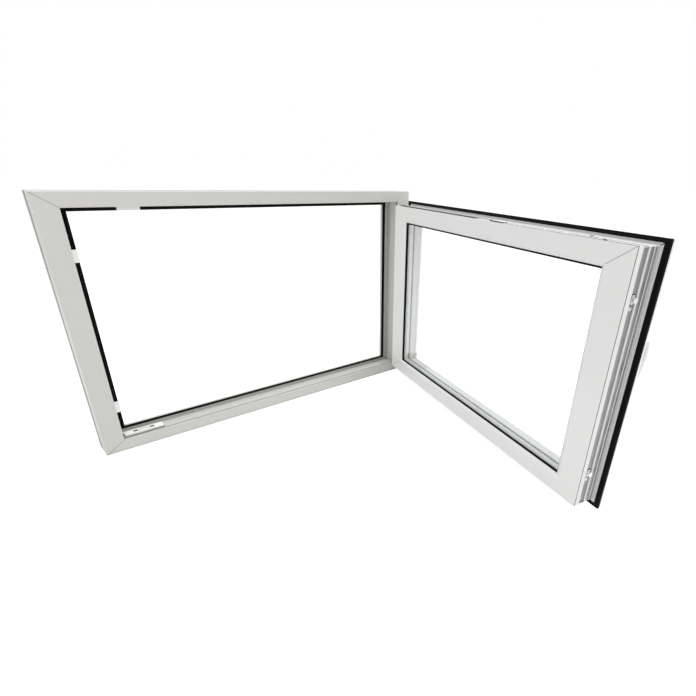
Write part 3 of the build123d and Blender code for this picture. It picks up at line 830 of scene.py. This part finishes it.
def floor():
    """A plain pale floor that reads as white and keeps a soft shadow."""
    bpy.ops.mesh.primitive_plane_add(size=FLOOR_SIZE)
    plane = bpy.context.object
    plane.name = "floor"
    material, shader = new_material("floor_white")
    tree = material.node_tree
    patches = noise(tree, object_place(tree), FLOOR_PATCH_SCALE, detail=2)
    colour = mix_colours(tree, patches, FLOOR_COLOUR, FLOOR_PATCHES)
    tree.links.new(colour, shader.inputs["Base Color"])
    shader.inputs["Roughness"].default_value = 1.0
    shader.inputs["Specular IOR Level"].default_value = 0.0
    shader.inputs["Emission Color"].default_value = WHITE
    strength = maths(tree, "MULTIPLY", seen_white(tree), FLOOR_WHITENING)
    tree.links.new(strength, shader.inputs["Emission Strength"])
    plane.data.materials.append(material)


def world():
    """White where it is seen, and a plain grey light on the object."""
    studio = bpy.data.worlds.new("studio")
    bpy.context.scene.world = studio
    studio.use_nodes = True
    tree = studio.node_tree
    background = tree.nodes["Background"]
    background.inputs["Color"].default_value = WHITE
    strength = map_range(tree, seen_white(tree), 0.0, 1.0, to_low=WORLD_LIGHT, to_high=1.0)
    tree.links.new(strength, background.inputs["Strength"])


def lamp(name, place, power):
    """A square softbox that points at the window."""
    data = bpy.data.lights.new(name, "AREA")
    data.size = LAMP_SIZE
    data.energy = power
    light = bpy.data.objects.new(name, data)
    bpy.context.scene.collection.objects.link(light)
    light.location = place
    light.rotation_euler = (Vector(LAMP_AIM) - Vector(place)).to_track_quat("-Z", "Y").to_euler()


# Solids
dress_nodes()
round_edges(PROFILES, PROFILE_ROUNDING)
round_edges(BEADS, BEAD_ROUNDING)
round_edges(KEEPS, KEEP_ROUNDING)
round_edges(
    ("lock_stile_faceplate", "top_rail_faceplate", "bottom_rail_faceplate", "stay_arm"),
    STRIP_ROUNDING,
)

# Screws of the keeps
keep_screw_places = [
    frame_place("left", along + offset, FRAME_FACE, KEEP_SCREW_DEPTH)
    @ Matrix.Translation((0, 0, KEEP_BASE))
    for along in LOCK_ALONGS
    for offset in (-KEEP_SCREW_OFFSET, KEEP_SCREW_OFFSET)
]
screws("keep_screws", keep_screw_places, KEEP_SCREW, zinc_upright)

# Welded joints
mitre_lines("frame_mitre_lines", FRAME_SPANS, FRAME_MITRES, FRAME_RING, joint_grey)
mitre_lines("sash_mitre_lines", SASH_OUTSIDE_SPANS, SASH_MITRES, SASH_RING, joint_grey, OPENED)
mitre_lines("sash_room_mitre_lines", SASH_ROOM_SPANS, CORNERS, SASH_RING, joint_grey, OPENED)
mitre_lines(
    "flange_mitre_line", FLANGE_SPANS, FLANGE_MITRES, SASH_RING, black_seal, OPENED,
    FLANGE_LINE_WIDTH,
)

# Black strip painting the outer groove's shade, seal lips, and fine lines of painted shade
ring_piece("groove_shade_strip", OUTER_GROOVE_STRIP_SECTION, FRAME_RING, black_seal)
for side, reach in LIP_REACHES.items():
    lip_name = "outer_seal_lip_" + side
    bar_piece(lip_name, SEAL_LIP_SECTION, side, (-reach, reach), black_seal)
# A black strip on the floor of the rebate's fine groove paints the groove's shade.
ring_piece("rebate_groove_painted_shade", REBATE_SHADE_SECTION, FRAME_RING, black_seal)
# A dark grey strip beside the sash's outer arris paints a dark shade line along that edge.
ring_piece("sash_edge_painted_shade_line", EDGE_SHADE_LINE_SECTION, SASH_RING, joint_grey, OPENED)

# Hardware on the free stile and in the groove
bar_piece("lock_gear_rail", GEAR_RAIL_SECTION, "left", GEAR_RAIL_SPAN, zinc_rolled)
cam_places = [faceplate_place("left", along) for along in LOCK_ALONGS]
cam_places.append(faceplate_place("top", -TOP_LOCK_X))
# Black plates under the cam bases paint a shadow rim round each cam.
plates("cam_painted_shadow_rims", cam_places, CAM_SHADOW_RIM, black_seal)
plates("cam_bases", cam_places, CAM_BASE, zinc_pale)
faceplate_screw_places = (
    [faceplate_place("left", along + CAM_SCREW_OFFSET) for along in LOCK_ALONGS]
    + [faceplate_place("top", along) for along in TOP_SCREW_ALONGS]
    + [faceplate_place("bottom", along) for along in BOTTOM_SCREW_ALONGS]
)
screws("faceplate_screws", faceplate_screw_places, FACEPLATE_SCREW, zinc_pale)

# Painted shadow of the stay arm, its knob with a painted shadow rim, a painted shade line and a
# mark on the top rail
# A black strip on the top rail paints the shadow gap along the stay arm.
bar_piece("stay_painted_shadow", STAY_SHADOW_SECTION, "top", STAY_SHADOW_SPAN, black_seal)
# A thin black strip near the top rail's outer arris paints a dark shade line.
bar_piece("top_rail_painted_shade_line", RAIL_SHADE_LINE_SECTION, "top", RAIL_SHADE_LINE_SPAN, black_seal)
turned_out = Matrix.Rotation(math.pi, 4, "X")
knob = sash_place("top", *KNOB_PLACE) @ turned_out
knob_face = knob @ Matrix.Translation((0, KNOB_FACE_SHIFT, 0))
# A black plate under the knob paints its shadow rim.
plates("stay_knob_painted_shadow_rim", [knob], KNOB_SHADOW_RIM, black_seal)
plates("stay_knob", [knob_face], KNOB_FACE, keep_lacquer)
mark = sash_place("top", *RAIL_MARK_PLACE) @ turned_out
plates("rail_mark", [mark], RAIL_MARK, black_seal)

# Striker on the sill, with a painted shadow pad round it and painted shade in its slot
striker = frame_place("bottom", STRIKER_MIDDLE, FRAME_FACE, STRIKER_DEPTH)
# A black pad a little larger than the striker paints its shadow rim.
plates("striker_painted_shadow_pad", [striker], STRIKER_SHADOW_PAD, black_seal)
# A black plate in the slot paints the shade inside it.
plates("striker_slot_painted_shade", [striker], STRIKER_SLOT_SHADE, black_seal)
plates("striker_slider", [striker], STRIKER_SLIDER, zinc_pale)

# Screws of the hinge plates
out_of_face = Matrix.Rotation(math.pi / 2, 4, "X")
hinge_screw_y = ROOM_FACE_Y - HINGE_PLATE_THICKNESS
hinge_screw_places = [
    Matrix.Translation((HINGE_X + offset, hinge_screw_y, foot + rise)) @ out_of_face
    for foot in HINGE_FEET
    for rise in HINGE_SCREW_RISES
    for offset in (-HINGE_SCREW_OFFSET, HINGE_SCREW_OFFSET)
]
screws("hinge_screws", hinge_screw_places, HINGE_SCREW, zinc_upright)

# Stage
camera()
floor()
world()
for lamp_name, (lamp_place, lamp_power) in LAMPS.items():
    lamp(lamp_name, lamp_place, lamp_power)
bpy.context.scene.view_settings.view_transform = "Standard"
